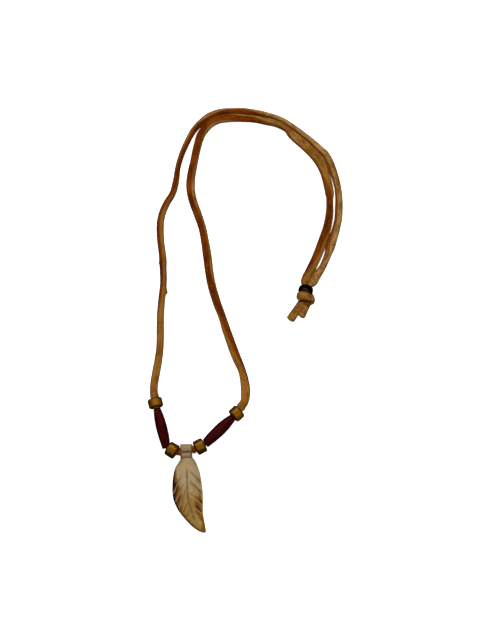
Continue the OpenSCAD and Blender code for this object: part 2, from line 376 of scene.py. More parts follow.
class Board:
    """The nodes of one material."""

    def __init__(self, name: str) -> None:
        """Starts a material with no nodes.

        Args:
            name: The material's name.
        """
        self.material = bpy.data.materials.new(name)
        self.material.use_nodes = True
        self.tree = self.material.node_tree
        self.tree.nodes.clear()

    def node(
        self,
        kind: str,
        settings: dict | None = None,
        sockets: dict[str | int, Feed] | None = None,
        output: str | int = 0,
    ) -> Signal:
        """Adds a node.

        Args:
            kind: Blender's name for the node's type, without ShaderNode.
            settings: The node's own settings, set first.
            sockets: What each input gets: a link, a number, a vector or a colour.
            output: Which output to hand back.

        Returns:
            That output.
        """
        made = self.tree.nodes.new("ShaderNode" + kind)
        for key, value in (settings or {}).items():
            setattr(made, key, value)
        for key, value in (sockets or {}).items():
            if isinstance(value, Signal):
                self.tree.links.new(value.socket, made.inputs[key])
            elif made.inputs[key].type == "RGBA":
                made.inputs[key].default_value = (*value, 1.0)
            else:
                made.inputs[key].default_value = value
        return Signal(self, made.outputs[output] if made.outputs else None)

    def maths(self, operation: str, a: Feed, b: Feed) -> Signal:
        """One step of arithmetic on two values."""
        return self.node("Math", {"operation": operation}, {0: a, 1: b})

    def mark(self, key: str, vector: bool = False) -> Signal:
        """A number, or a vector, kept on the mesh's points."""
        return self.node("Attribute", {"attribute_name": key}, output="Vector" if vector else "Fac")

    def grain(
        self,
        vector: Signal,
        scale: float,
        detail: float = 3.0,
        rough: float = 0.55,
        drawn: Drawn | None = None,
    ) -> Signal:
        """Noise from 0 to 1.

        Args:
            vector: Where to read it.
            scale: Bumps for each millimetre.
            detail: How many finer layers it has.
            rough: How strong the finer layers are.
            drawn: How it is drawn out, if it is.

        Returns:
            The noise.
        """
        if drawn:
            vector = self.node("VectorMath", {"operation": "MULTIPLY"}, {0: vector, 1: drawn.value})
        sockets = {"Vector": vector, "Scale": scale, "Detail": detail, "Roughness": rough}
        return self.node("TexNoise", {"noise_dimensions": "3D"}, sockets, "Fac")

    def step(self, value: Signal, low: float, high: float) -> Signal:
        """Eased step from 0 where the value is low to 1 where it is high."""
        sockets = {"Value": value, "From Min": low, "From Max": high}
        return self.node("MapRange", {"interpolation_type": "SMOOTHSTEP"}, sockets, "Result")

    def mix(self, share: Feed, a: Signal | Colour, b: Signal | Colour) -> Signal:
        """Two colours mixed, with a share of the second."""
        settings = {"data_type": "RGBA", "blend_type": "MIX", "clamp_factor": True}
        return self.node("Mix", settings, {0: share, 6: a, 7: b}, 2)

    def bump(self, height: Signal, depth: float, strength: float) -> Signal:
        """The normal of a small relief whose height is from 0 to 1 and whose depth is in millimetres."""
        return self.node("Bump", None, {"Height": height, "Distance": depth * MM, "Strength": strength})

    def surface(self, **sockets: Feed) -> Material:
        """Closes the material with its surface.

        Args:
            sockets: Inputs of the surface, with _ for a space in their names.

        Returns:
            The finished material.
        """
        named = {key.replace("_", " "): value for key, value in sockets.items()}
        shader = self.node("BsdfPrincipled", None, named)
        self.node("OutputMaterial", None, {"Surface": shader})
        return self.material


# Finishes


class Finish(Protocol):
    """What a piece can be dressed in."""

    def material(self, name: str) -> Material:
        """The finish as a material with this name."""


@dataclass(frozen=True)
class SuedeFinish:
    """Suede that is dyed rust on its skin side and cut pale on the others.

    Attributes:
        pale: Colour of the cut sides where they are fair.
        warm: Colour of the cut sides elsewhere.
        shade: Darker colour in the nap of the cut sides.
        rust: Colour of the skin side.
        deep: Darkest colour of the skin side.
        rough: How matte it is.
    """

    pale: Colour = (0.315, 0.175, 0.054)
    warm: Colour = (0.240, 0.100, 0.013)
    shade: Colour = (0.130, 0.046, 0.005)
    rust: Colour = (0.150, 0.030, 0.0010)
    deep: Colour = (0.060, 0.0085, 0.0003)
    rough: float = 0.95

    def material(self, name: str) -> Material:
        """Builds the material.

        Args:
            name: Its name.

        Returns:
            The material, which reads the marks lay, rust and fair.
        """
        b = Board(name)
        lay = b.mark("lay", vector=True)
        nap = b.grain(lay, 1.5, 5.0, 0.62, Drawn.NAP)
        streak = b.grain(lay, 1.3, 3.0, drawn=Drawn.STREAK)
        patch = b.grain(lay, 0.16, 2.0, drawn=Drawn.NAP)
        edge = b.mark("rust") + (streak - 0.5) * 1.0 + (nap - 0.5) * 0.8 + (patch - 0.5) * 0.6
        skin = b.step(edge, 0.18, 0.82)
        fleck = b.step(nap + (streak - 0.5) * 1.1 + (patch - 0.5) * 0.9, 0.28, 0.70)
        tan = b.mix(b.step(b.mark("fair") + (patch - 0.5) * 0.6, 0.2, 0.8), self.warm, self.pale)
        cut_side = b.mix(fleck, self.shade, tan)
        skin_side = b.mix(fleck, self.deep, self.rust)
        return b.surface(
            Base_Color=b.mix(skin, cut_side, skin_side),
            Roughness=self.rough,
            Specular_IOR_Level=0.03,
            Normal=b.bump(nap * 0.7 + streak * 0.3, 0.3, 0.9),
        )


@dataclass(frozen=True)
class AntiqueBrassFinish:
    """Brass with a painted highlight on its belly, dark by painted shade at its ends and sides and by
    patina in its hole.

    Attributes:
        highlight_metal: Metal under the painted highlight on the belly.
        olive: Metal with a thin greenish tarnish.
        dark: Patina in the hole, also used as painted shade at the ends and on the sides.
    """

    highlight_metal: Colour = (0.225, 0.087, 0.0030)
    olive: Colour = (0.150, 0.062, 0.0030)
    dark: Colour = (0.036, 0.0130, 0.0006)

    def material(self, name: str) -> Material:
        """Builds the material.

        Args:
            name: Its name.

        Returns:
            The material, which reads the marks lay, rim and worn.
        """
        b = Board(name)
        lay = b.mark("lay", vector=True)
        cloud = b.grain(lay, 0.30, 3.0)
        speck = b.grain(lay, 1.6, 4.0, 0.65)
        lathe = b.grain(lay, 1.2, 2.0, drawn=Drawn.LATHE)
        # Patina in the hole, and painted shade at the ends and on the sides away from the painted
        # highlight.
        patina_and_shade = b.step(b.mark("rim") + (cloud - 0.5) * 0.8 + (speck - 0.5) * 0.9, 0.15, 0.95)
        # Painted highlight: brighter metal on the belly.
        painted_highlight = b.step(b.mark("painted_highlight") + (cloud - 0.5) * 1.2 + (speck - 0.5) * 0.5, 0.3, 1.0)
        return b.surface(
            Base_Color=b.mix(patina_and_shade, b.mix(painted_highlight, self.olive, self.highlight_metal), self.dark),
            Metallic=0.6 - patina_and_shade * 0.6,
            Roughness=0.46 + patina_and_shade * 0.3 + (speck - 0.5) * 0.15,
            Specular_IOR_Level=0.05,
            Normal=b.bump(speck * 0.5 + lathe * 0.5, 0.05, 0.7),
        )


@dataclass(frozen=True)
class DyedBoneFinish:
    """Bone dyed oxblood, with the grain a little paler and a painted grey sheen.

    Attributes:
        deep: Colour of the dye.
        grain: Paler colour along the grain.
        painted_sheen_colour: Colour of the painted grey sheen on the high places.
    """

    deep: Colour = (0.020, 0.0006, 0.0004)
    grain: Colour = (0.056, 0.0020, 0.0011)
    painted_sheen_colour: Colour = (0.046, 0.012, 0.013)

    def material(self, name: str) -> Material:
        """Builds the material.

        Args:
            name: Its name.

        Returns:
            The material, which reads the marks lay and worn.
        """
        b = Board(name)
        lay = b.mark("lay", vector=True)
        streak = b.grain(lay, 1.5, 4.0, 0.6, Drawn.STREAK)
        pore = b.grain(lay, 4.0, 3.0, drawn=Drawn.PORES)
        cloud = b.grain(lay, 0.18, 2.0)
        line = b.step(streak + (pore - 0.5) * 0.4, 0.42, 0.72)
        # Painted sheen: grey on the bead's high places.
        painted_sheen = b.step(b.mark("painted_highlight") + (cloud - 0.5) * 0.9 + (streak - 0.5) * 0.8, 0.45, 1.15)
        return b.surface(
            Base_Color=b.mix(painted_sheen, b.mix(line, self.deep, self.grain), self.painted_sheen_colour),
            Roughness=0.42 + painted_sheen * 0.2 + line * 0.12,
            Specular_IOR_Level=0.02,
            Normal=b.bump(streak * 0.6 + pore * 0.4, 0.09, 0.8),
        )


@dataclass(frozen=True)
class CarvedBoneFinish:
    """Pale bone, burnt along its edges before the barbs were cut through the burn.

    Attributes:
        pale: Clean bone.
        blush: Pinkish bone of the bail.
        honey: Bone that is stained yellow towards the tip.
        amber: Lightly burnt bone.
        burnt: Fully burnt bone.
        cut: Floor of the lines that are carved through the burn.
        groove: Floor of the other lines, darkened as painted shade, and the bone's dark fibres.
    """

    pale: Colour = (0.345, 0.252, 0.126)
    blush: Colour = (0.250, 0.164, 0.086)
    honey: Colour = (0.275, 0.162, 0.033)
    amber: Colour = (0.175, 0.062, 0.0018)
    burnt: Colour = (0.020, 0.0050, 0.0008)
    cut: Colour = (0.235, 0.165, 0.105)
    groove: Colour = (0.105, 0.058, 0.018)

    def material(self, name: str) -> Material:
        """Builds the material.

        Args:
            name: Its name.

        Returns:
            The material, which reads the marks lay, flow, stain, amber, burnt, cut and blush.
        """
        b = Board(name)
        lay = b.mark("lay", vector=True)
        flow = b.grain(b.mark("flow", vector=True), 0.9, 3.0, drawn=Drawn.FLOW)
        fibre = b.grain(lay, 1.5, 4.0, drawn=Drawn.FIBRE)
        cloud = b.grain(lay, 0.30, 3.0)
        pore = b.grain(lay, 5.0, 2.0, drawn=Drawn.BONE_PORES)
        wander = (cloud - 0.5) * 0.7 + (fibre - 0.5) * 0.3 + (flow - 0.5) * 1.3
        scorch = b.step(b.mark("amber") + wander, 0.05, 0.8)
        body = b.mix(b.mark("blush"), self.pale, self.blush)
        body = b.mix(b.step(b.mark("stain") + wander, 0.1, 0.95), body, self.honey)
        body = b.mix(b.step(fibre, 0.35, 0.8) * 0.3, body, self.groove)
        body = b.mix(b.step(flow, 0.45, 0.75) * b.mark("stain") * 0.45, body, self.groove)
        body = b.mix(scorch, body, self.amber)
        body = b.mix(b.step(b.mark("burnt") + wander * 0.6, 0.2, 0.8), body, self.burnt)
        # Floor of the carved lines: pale bone where they cut through the burn, painted shade where the bone
        # is unburnt.
        floor = b.mix(scorch, self.groove, self.cut)
        body = b.mix(b.step(b.mark("cut") + (fibre - 0.5) * 0.3, 0.25, 0.95) * 0.75, body, floor)
        return b.surface(
            Base_Color=body,
            Roughness=0.42 + b.mark("cut") * 0.3 + (pore - 0.5) * 0.12,
            Specular_IOR_Level=0.08,
            Subsurface_Weight=0.08,
            Subsurface_Radius=(0.9, 0.6, 0.3),
            Subsurface_Scale=0.0006,
            Normal=b.bump(fibre * 0.5 + pore * 0.5, 0.05, 0.6),
        )


@dataclass(frozen=True)
class BlackGlossFinish:
    """Polished black, with fine handling marks and a painted highlight on one rim.

    Attributes:
        black: The body colour.
        haze: Colour of the faint handling marks.
        painted_highlight: Colour of the painted highlight on the rim by the knot.
    """

    black: Colour = (0.0006, 0.0007, 0.0008)
    haze: Colour = (0.0015, 0.0018, 0.0030)
    painted_highlight: Colour = (0.110, 0.100, 0.090)

    def material(self, name: str) -> Material:
        """Builds the material.

        Args:
            name: Its name.

        Returns:
            The material, which reads the marks lay and worn.
        """
        b = Board(name)
        lay = b.mark("lay", vector=True)
        haze = b.step(b.grain(lay, 0.8, 4.0), 0.4, 0.75)
        return b.surface(
            # Painted highlight on the rim by the knot.
            Base_Color=b.mix(b.mark("painted_highlight"), b.mix(haze, self.black, self.haze), self.painted_highlight),
            Roughness=0.16 + haze * 0.10,
            Specular_IOR_Level=0.004,
            Normal=b.bump(b.grain(lay, 0.7, 2.0), 0.05, 0.5),
        )


@dataclass(frozen=True)
class TableFinish:
    """Plain pale table top.

    Attributes:
        pale: Its colour.
        mark: The slightly darker colour of its faint unevenness.
    """

    pale: Colour = (0.96, 0.96, 0.96)
    mark: Colour = (0.94, 0.94, 0.94)

    def material(self, name: str) -> Material:
        """Builds the material.

        Args:
            name: Its name.

        Returns:
            The material.
        """
        b = Board(name)
        return b.surface(
            Base_Color=b.mix(b.grain(b.node("TexCoord", output="Object"), 6.0, 2.0), self.mark, self.pale),
            Roughness=0.8,
            Specular_IOR_Level=0.1,
            Emission_Color=(1.0, 1.0, 1.0),
            Emission_Strength=0.8,
        )


# Sub-assemblies


class Part:
    """A sub-assembly that takes the place of one solid.

    Attributes:
        slot: The material slot named for its finish; build takes the finish that it is handed.
        crease: Angle in degrees above which its edges stay sharp.
    """

    slot: ClassVar[Slot]
    crease: ClassVar[float] = 45.0

    def shape(self, skin: Skin) -> None:
        """Fills the piece's empty skin."""
        raise NotImplementedError

    def work(self, obj: Piece) -> None:
        """Works on the made piece, where its rings alone are not enough."""

    def build(self, name: str, finish: Finish, node: str) -> Piece:
        """Makes and dresses the piece, which takes the place of its plain solid.

        Args:
            name: Name of the piece.
            finish: Its finish.
            node: The solid that it stands for.

        Returns:
            The piece.
        """
        skin = Skin(name)
        self.shape(skin)
        obj = skin.piece(finish.material(name), self.crease)
        self.work(obj)
        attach(obj, "root")
        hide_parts(node)
        log.info("%s: %d faces, for %s", name, len(obj.data.polygons), node)
        return obj


@dataclass
class Threaded(Part):
    """Anything with a straight hole that the lace runs through.

    Attributes:
        x: Middle, across the table.
        y: Middle, up the table.
        turn: Way that the hole points, in degrees from +X.
        z: Height of the hole above the table.
        lean: Angle by which the hole rises towards its far end, in degrees.
        length: Length along the hole.
        bore: Diameter of the hole.
    """

    x: float
    y: float
    turn: float
    z: float = 4.5
    lean: float = 0.0
    length: float = 6.0
    bore: float = 4.2

    @property
    def middle(self) -> Array:
        """The middle of the hole."""
        return np.array((self.x, self.y, self.z))

    @property
    def axis(self) -> Array:
        """The way that the hole points."""
        flat, rise = math.radians(self.turn), math.radians(self.lean)
        return np.array((math.cos(rise) * math.cos(flat), math.cos(rise) * math.sin(flat), math.sin(rise)))

    @property
    def side(self) -> Array:
        """Level, to the left of the hole's way."""
        flat = math.radians(self.turn)
        return np.array((-math.sin(flat), math.cos(flat), 0.0))

    def point(self, along: float, across: float = 0.0) -> Array:
        """A point near the hole: so far along its way, and so far level to its left."""
        return self.middle + along * self.axis + across * self.side

    def turned(self, profile: Array, swell: Numbers = 1.0, sides: int = 96) -> tuple[Array, Array]:
        """Turns a closed outline round the hole.

        Args:
            profile: Rows of distance along the hole and radius.
            swell: Factor on the radius, for each side and row of the outline.
            sides: Points round the hole.

        Returns:
            The rings of points, and the same points before they are set in place.
        """
        angle = around(sides)[:, None]
        along = np.broadcast_to(profile[None, :, 0], (sides, len(profile)))
        radius = profile[None, :, 1] * swell
        out, up = radius * np.sin(angle), radius * np.cos(angle)
        top = np.cross(self.axis, self.side)
        rings = self.middle + along[..., None] * self.axis
        rings = rings + out[..., None] * self.side + up[..., None] * top
        return rings, np.stack([out, up, along], axis=2)


@dataclass
class Turned(Threaded):
    """A bead that is turned on a lathe.

    Attributes:
        diameter: Outside diameter.
        rim: How deep the rims are rounded off.
        runs: How far along the hole the rounding reaches from its first and its last end.
        flare: How far the hole's edges are eased.
    """

    diameter: float = 9.3
    rim: float = 1.25
    runs: tuple = (1.25, 1.25)
    flare: float = 0.3

    def outline(self) -> Array:
        """Closed outline of the bead: rounded rims, belly, ends and hole.

        Returns:
            Rows of distance along the hole and radius.
        """
        half, bore, flare = self.length / 2, self.bore / 2, self.flare
        radius, rim, (low, high) = self.diameter / 2, self.rim, self.runs
        arc = np.linspace(0, math.pi / 2, 9)
        belly = [(t, radius) for t in np.linspace(low - half, half - high, 9)[1:-1]]
        first = [(-half + low * (1 - math.cos(a)), radius - rim + rim * math.sin(a)) for a in arc]
        last = [(half - high * (1 - math.sin(a)), radius - rim + rim * math.cos(a)) for a in arc]
        ease = [(flare * (1 - math.cos(a)), flare * (1 - math.sin(a))) for a in arc[::2]]
        into = [(half - d, bore + r) for d, r in ease]
        hole = [(t * (half - flare), bore) for t in np.linspace(1, -1, 7)[1:-1]]
        out_of = [(-half + d, bore + r) for d, r in reversed(ease)]
        return np.array(first + belly + last + into + hole + out_of)


@dataclass
class BarrelBead(Turned):
    """A brass barrel bead.

    Attributes:
        patches: Dark patches: angle from the top to the left in degrees, place along the hole, reach.
        painted_highlight_strength: How strong the painted highlight on its belly is.
        painted_highlight_angle: Angle of the painted highlight from the top to the left, in degrees.
        reach: How far from there the sides are free of painted shade, in degrees.
        dents: Bumps for each millimetre and depth, of the broad and of the small dents.
        seed: Picks the bead's own dents.
    """

    slot: ClassVar[Slot] = Slot.BRASS

    z: float = 4.65
    patches: tuple = ()
    painted_highlight_strength: float = 0.7
    painted_highlight_angle: float = 0.0
    reach: float = 36.0
    dents: tuple = ((0.28, 0.12), (1.1, 0.03))
    seed: float = 1.0

    def shape(self, skin: Skin) -> None:
        """Turns the bead, with a painted highlight on its belly and painted shade on its sides and ends.

        Args:
            skin: The skin to fill.
        """
        profile = self.outline()
        outer, bore, half = self.diameter / 2, self.bore / 2, self.length / 2
        _, lay = self.turned(profile)
        (broad, broad_deep), (small, small_deep) = self.dents
        dent = ripple(lay, broad, self.seed) * broad_deep + ripple(lay, small, self.seed + 5) * small_deep
        outside = smooth(bore + 0.2, outer - 0.8, profile[:, 1])
        rings, lay = self.turned(profile, 1 + dent * outside / outer)
        # Painted shade at the ends, over their patina; patina in the hole.
        ends = smooth(0.50, 0.92, np.abs(profile[:, 0]) / half)
        inner = smooth(outer - 0.6, bore + 0.6, profile[:, 1])
        turn = np.degrees(np.arctan2(lay[..., 0], lay[..., 1]))
        off = np.abs((turn - self.painted_highlight_angle + 180) % 360 - 180)
        # Painted shade on the sides away from the painted highlight, added to the patina.
        rim = np.maximum(np.maximum(ends, inner), 0.9 * smooth(self.reach, self.reach + 28, off))
        for angle, along, reach in self.patches:
            away = np.hypot((turn - angle) * math.radians(outer), lay[..., 2] - along)
            rim = np.maximum(rim, 0.95 * smooth(1.2, 0.4, away / reach))
        # Painted highlight on the belly, round its angle.
        painted_highlight = smooth(50, 10, off) * smooth(1.0, 0.2, np.abs(lay[..., 2]) / half) * self.painted_highlight_strength
        skin.rings(rings, True, lay=lay + self.seed * 20, rim=rim, painted_highlight=painted_highlight)


@dataclass
class RingBead(Turned):
    """The black ring bead that slides on both strands above the knot.

    Attributes:
        painted_highlight_line: Painted highlight line on the rim: along the hole and across it, its reach
            in both ways, least height.
    """

    slot: ClassVar[Slot] = Slot.BLACK

    length: float = 4.0
    bore: float = 6.7
    diameter: float = 9.6
    rim: float = 1.3
    runs: tuple = (2.6, 0.9)
    flare: float = 0.1
    painted_highlight_line: tuple = (1.65, -0.4, 0.14, 1.7, 3.6)

    def shape(self, skin: Skin) -> None:
        """Turns the bead.

        Args:
            skin: The skin to fill.
        """
        rings, lay = self.turned(self.outline())
        along, across, thin, wide, low = self.painted_highlight_line
        # Painted highlight: a thin light line on the rim by the knot.
        painted_highlight = hill(lay[..., 2] - along, thin) * hill(lay[..., 0] - across, wide) * (lay[..., 1] > low)
        skin.rings(rings, True, lay=lay, painted_highlight=painted_highlight)


@dataclass
class Hairpipe(Threaded):
    """A long dyed bone bead that tapers to flat cut ends.

    Attributes:
        middle_d: Diameter at the middle.
        end_d: Diameter at the first and the last end.
        slant: How far each end is cut aslant, for a millimetre to the left of the hole's way.
        bevel: How far the ends are rounded off, along the hole and across.
        facets: Number of soft facets left by the hand work.
        facet_depth: Their depth as a share of the radius.
        painted_sheen: How strong the painted sheen is at the middle.
        seed: Picks the bead's own unevenness.
        sides: Points round the bead.
        rows: Sections along its belly.
    """

    slot: ClassVar[Slot] = Slot.DYED_BONE

    length: float = 24.4
    bore: float = 3.0
    middle_d: float = 7.1
    end_d: tuple = (4.3, 5.3)
    slant: tuple = (0.0, 0.0)
    bevel: tuple = (0.1, 0.3)
    facets: int = 11
    facet_depth: float = 0.016
    painted_sheen: float = 0.3
    seed: float = 1.0
    sides: int = 88
    rows: int = 90

    def shape(self, skin: Skin) -> None:
        """Shapes the bead with its facets and slanting ends.

        Args:
            skin: The skin to fill.
        """
        half, inside, sides = self.length / 2, self.bore / 2, self.sides
        first, last = self.end_d[0] / 2, self.end_d[1] / 2
        along = np.linspace(-half + 0.35, half - 0.35, self.rows)
        taper = (self.middle_d - np.where(along < 0, *self.end_d)) / 2
        outer = self.middle_d / 2 - taper * (along / half) ** 2
        low, high = self.bevel
        lip = inside + 0.08
        into = [(low - half, inside), (-half, lip), (-half, first - high), (low - half, first - low)]
        out = [(half - low, last - low), (half, last - high), (half, lip), (half - low, inside)]
        hole = [(t, inside) for t in np.linspace(half - 1, -half + 1, 12)]
        profile = np.array(into + list(zip(along, outer)) + out + hole)
        angle = np.arange(sides) / sides * self.facets
        ridge = np.abs((angle + 0.3 * np.sin(angle * 1.7 + self.seed)) % 1 - 0.5) * 2
        outside = (profile[None, :, 1] > inside + 0.2).astype(float)
        facet = (ridge**2 - 0.4)[:, None] * self.facet_depth * outside
        _, lay = self.turned(profile, 1 + facet, sides)
        rough = ripple(lay * np.array((1, 1, 0.25)), 0.35, self.seed)
        rings, lay = self.turned(profile, 1 + facet + rough * 0.02 * outside, sides)
        share, (first, last) = lay[..., 2] / half, self.slant
        shift = lay[..., 0] * (first * smooth(-0.6, -1.0, share) + last * smooth(0.6, 1.0, share))
        rings = rings + shift[..., None] * self.axis
        # Painted sheen at the middle, on one side of the bead.
        painted_highlight = self.painted_sheen * smooth(0.7, 0.1, np.abs(share)) * smooth(1.6, -0.8, lay[..., 0])
        skin.rings(rings, True, lay=lay + self.seed * 30, painted_highlight=painted_highlight)


@dataclass(frozen=True)
class Stop:
    """One hole that the lace is threaded through.

    Attributes:
        hole: What has the hole.
        size: Width and height of the lace in it.
        turn: Turn of the lace's rust side.
        rust: How deep the rust is.
        before: Rows of the lace just before the hole, as in the lace's own tables.
    """

    hole: Threaded
    size: float
    turn: float
    rust: float
    before: tuple = ()


@dataclass
class Lace(Part):
    """The one suede lace, from the knot through every bead and back to the knot.

    Each row of its two strands has x, y, width, height, lift above the table, turn of the rust side from
    straight up to the right of the lace's way in degrees, and how deep the rust is.

    Attributes:
        ring: The ring bead, which both ends pass through.
        stops: What the lace is threaded through, in order.
        gap: From the ring bead's middle to the middle of each strand in it.
        squeezed: Width and height of a strand in the ring bead, turn of its rust side and rust.
        ring_run: Ends of the straight run in the ring bead, along its hole.
        sides: Points round the lace.
        fullness: How square the section is; 2 is an oval.
        uneven: How far its thickness varies, slowly and quickly.
        outer: The strand from the ring bead to the outer left bead.
        inner: The strand from the outer right bead back to the ring bead.
        fair: Distance along the lace, and how fair its cut sides are there.
        tufts: Places where a sliver of the edge stands off: x, y, reach and height.
    """

    slot: ClassVar[Slot] = Slot.SUEDE
    crease: ClassVar[float] = NO_CREASE

    ring: RingBead
    stops: tuple[Stop, ...]
    gap: float = 1.55
    squeezed: tuple = (3.2, 4.2, 78, 0.6)
    ring_run: tuple = (1.15, -2.05)
    sides: int = 32
    fullness: float = 2.7
    uneven: tuple = (0.03, 0.014)
    outer: tuple = (
        (74.5, 117.3, 5.5, 3.8, 1, -78, 0.45), (77.2, 122.4, 5.6, 3.6, 0.5, -75, 0.45),
        (80.5, 127.2, 4.6, 3.5, 0.3, -72, 0.45), (84.2, 135.7, 4.8, 3.5, 0.1, -70, 0.5),
        (85.6, 140.1, 5.9, 3.5, 0, -60, 0.65), (87, 144.2, 5.9, 3.5, 0, -56, 0.7),
        (91.1, 158.5, 5.1, 3.7, 0, -57, 0.65), (91.9, 166.7, 5.2, 3.8, 0, -60, 0.6),
        (92, 175, 4.8, 3.9, 0, -62, 0.6), (91.1, 183.6, 4.6, 3.8, 0, -72, 0.4),
        (88.9, 192, 5.2, 3.8, 0, -56, 0.6), (86.2, 200.2, 5, 3.8, 0, -72, 0.5),
        (83.4, 205.3, 5, 3.8, 0, -76, 0.5), (80.7, 208, 4.6, 3.8, 0, -76, 0.55),
        (74.7, 214.1, 3.9, 3.9, 0, -88, 0.5), (67.5, 220.1, 3.6, 4.1, 0, -84, 0.6),
        (61, 225.1, 3.6, 4.2, 0, -76, 0.5), (54, 229.4, 3.6, 4.3, 0, -76, 0.25),
        (46.5, 232, 3.8, 4.3, 0, -72, 0.3), (38.8, 234, 4.2, 4.3, 0, -50, 0.75),
        (30, 235.1, 4.7, 4.2, 0, -33, 1), (21.1, 235.2, 4.7, 4, 0, -30, 1),
        (13.7, 234.4, 4.8, 4, 0, -41, 0.8), (7.1, 231.7, 4.7, 4.1, 0, -54, 0.6),
        (1.4, 226.8, 4.7, 4.2, 0, -43, 1), (-3.5, 221, 4.3, 4.3, 0, -42, 1),
        (-7.6, 212.7, 4, 4.4, 0, -36, 1), (-11, 204, 3.9, 4.5, 0, -30, 1),
        (-13.3, 195.1, 3.8, 4.3, 0, -15, 1), (-14.4, 186.1, 4.2, 4.2, 0, 0, 0.95),
        (-16.4, 177.9, 4.3, 4.1, 0, 23, 0.95), (-20.5, 170.5, 4.7, 4, 0, 46, 0.95),
        (-23.4, 162.9, 4.8, 3.9, 0, 49, 0.95), (-24.3, 155, 4.9, 3.8, 0, 52, 0.95),
        (-23.9, 145.5, 4.7, 3.8, 0, 46, 1), (-22.6, 136, 4.8, 3.9, 0.1, 50, 1),
        (-22.2, 131.3, 5, 3.9, 0.1, 49, 1), (-22, 126.5, 4.6, 4, 0, 48, 1),
        (-21.7, 117, 4.5, 4.1, 0, 48, 1), (-22.7, 106, 4.5, 3.9, 0, 56, 0.85),
        (-23.3, 95, 4.8, 3.8, 0, 77, 0.65), (-23.3, 76, 4.8, 3.8, 0.1, 86, 0.5),
        (-24.2, 67, 5, 3.7, 0.1, 89, 0.5), (-25.6, 58, 5.2, 3.6, 0.2, 92, 0.5),
        (-26.5, 52.3, 5.1, 3.6, 0.5, 94, 0.5), (-26.8, 46.5, 5, 3.6, 1.2, 96, 0.4),
        (-26.2, 42.3, 5.6, 3.6, 2.6, 96, 0.4), (-26.1, 41.8, 5.6, 3.7, 2.8, 96, 0.4),
    )
    inner: tuple = (
        (27.5, 34.3, 5.4, 3.7, 2.8, 112, 0.4), (28.1, 35.4, 5.5, 3.6, 2.5, 112, 0.4),
        (30.4, 39.6, 5.4, 3.6, 1.7, 106, 0.5), (31, 44.1, 5.8, 3.5, 0.9, 98, 0.5),
        (30.9, 48.5, 6, 3.4, 0.4, 88, 0.6), (30.1, 54.3, 5.4, 3.5, 0.1, 78, 0.8),
        (28.6, 60, 5.1, 3.6, 0, 78, 0.9), (25.4, 67.7, 5.7, 3.5, 0, 52, 0.95),
        (22.5, 75.5, 5.8, 3.4, 0, 43, 1), (19.1, 85.2, 5.5, 3.5, 0, 27, 1), (16, 95, 5, 3.6, 0, 8, 0.85),
        (12.4, 104.9, 5.4, 3.5, 0.1, 2, 0.95), (9.5, 115, 5.5, 3.5, 0.1, -7, 0.95),
        (7.6, 125, 5.5, 3.5, 0, -26, 1), (6.4, 135, 5.7, 3.4, 0, -20, 1), (4.9, 144.5, 5.3, 3.5, 0, -15, 1),
        (3.1, 154, 5.2, 3.6, 0, -20, 1), (-0.1, 163.8, 5.5, 3.5, 0, -19, 1),
        (-3.4, 173.5, 5.6, 3.5, 0, -34, 1), (-4.8, 182.2, 5.8, 3.4, 0, -30, 1),
        (-4.3, 191, 5.7, 3.4, 0, -26, 1), (-2.5, 200.8, 5.3, 3.5, 0, -8, 1),
        (-0.6, 210.6, 5.4, 3.5, 0, 0, 1), (2, 218.9, 5.6, 3.5, 0, -11, 1),
        (7.1, 225.6, 5.5, 3.6, 0, -22, 0.95), (13.3, 229.2, 5.4, 3.5, 0, -14, 1),
        (20.6, 230.3, 5.4, 3.5, 0, -3, 1), (28.9, 230.3, 5.6, 3.5, 0, 18, 1),
        (37.5, 229.6, 5.2, 3.5, 0, 30, 1), (44.8, 228, 5.1, 3.6, 0, 50, 0.5),
        (52.1, 226, 4.5, 3.8, 0, 62, 0.35), (58.6, 222.3, 4.2, 3.7, 0, 77, 0.4),
        (61, 219.7, 5.6, 3.2, 0, 84, 0.7), (64.2, 216.7, 6.3, 2.9, 0, 88, 0.7),
        (70.4, 211.1, 6.6, 2.8, 0, 88, 0.65), (76.2, 205, 6.7, 2.8, 0, 88, 0.6),
        (80.8, 198.2, 6.7, 2.9, 0, 79, 0.6), (83.5, 190.6, 6, 3.1, 0, 70, 0.6),
        (85.4, 182.1, 6.1, 3.3, 0, 28, 0.55), (86, 177.7, 5.9, 3.4, 0, 18, 0.75),
        (86.1, 173.5, 4.8, 3.7, 0, 8, 0.85), (85.7, 163.4, 5.2, 3.7, 0, 4, 1),
        (83.8, 153.5, 5.7, 3.6, 0, 6, 1), (80.7, 144.3, 6.1, 3.5, 0, 25, 1),
        (77.2, 134.9, 6.1, 3.4, 0.2, 34, 1), (73.3, 126.5, 6, 3.6, 0.4, 58, 0.95),
        (69.3, 118.5, 5.4, 3.8, 1, 78, 0.9),
    )
    fair: tuple = (
        (0, 0.8), (25, 0.9), (60, 0.95), (88, 0.85), (100, 1), (112, 0.5), (135, 0.7), (153, 0.8),
        (165, 0.4), (180, 0.8), (195, 0.4), (230, 0.3), (270, 0), (330, 0.05), (350, 0.25), (383, 0.45),
        (478, 0), (600, 0.2), (625, 0.6), (640, 0.4), (665, 0.2), (680, 0.65), (720, 0.5), (745, 0.45),
        (775, 0.3), (800, 0.1), (840, 0.05), (855, 0.3),
    )
    tufts: tuple = (
        (-19.6, 111.8, 1.4, 0.8), (-20, 110.5, 1, 0.9), (-24.3, 130.6, 0.9, 0.3), (26.8, 37.2, 1.2, 0.6),
    )

    def lying(self, rows: tuple) -> list[list[float]]:
        """Rows of the route for a strand that lies on the table."""
        return [[x, y, tall / 2 + lift, wide, tall, *rest] for x, y, wide, tall, lift, *rest in rows]

